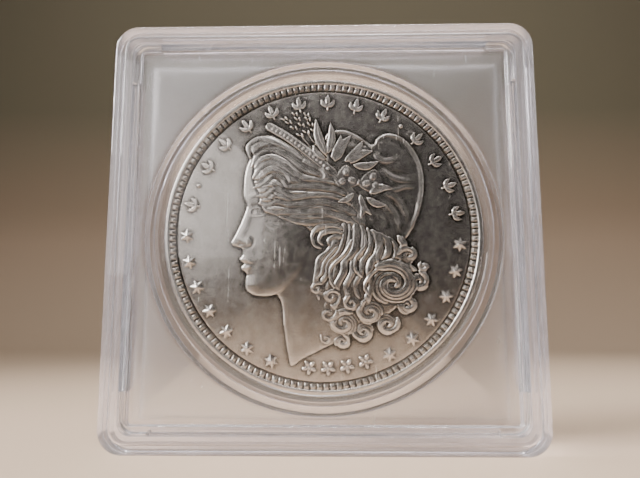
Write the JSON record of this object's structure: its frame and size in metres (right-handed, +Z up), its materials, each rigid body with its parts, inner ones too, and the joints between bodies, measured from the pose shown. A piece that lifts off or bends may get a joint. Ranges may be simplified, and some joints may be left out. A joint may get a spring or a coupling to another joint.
{
  "type": "coin capsule",
  "caption": "Square snap-together clear coin holder, standing on its edge, with a round struck coin seated between its two windows.",
  "frame": {"origin": "on the surface the holder stands on, under the middle of the closed holder", "axes": "+Z up along the holder's side, +X to the right seen from the front, -Y out of the front window"},
  "size_m": [0.0512, 0.0064, 0.0508],
  "materials": {
    "clear_cover": "clear moulded polystyrene, polished windows",
    "clear_base": "clear moulded polystyrene, polished windows",
    "coin_silver": "circulated struck silver with grey toning in the recesses"
  },
  "bodies": {
    "base": {"rear_shell": "clear_base"},
    "cover": {"front_shell": "clear_cover"},
    "coin": {"coin": "coin_silver"}
  },
  "joints": [
    {"name": "cover_pull", "type": "slide", "parent": "base", "child": "cover", "axis": [0, -1, 0], "range_m": [0, 0.04]},
    {"name": "coin_lift", "type": "slide", "parent": "base", "child": "coin", "axis": [0, -1, 0], "range_m": [0, 0.02]}
  ],
  "couplings": [
    {"joint": "coin_lift", "follows": "cover_pull", "ratio": 0.5}
  ]
}
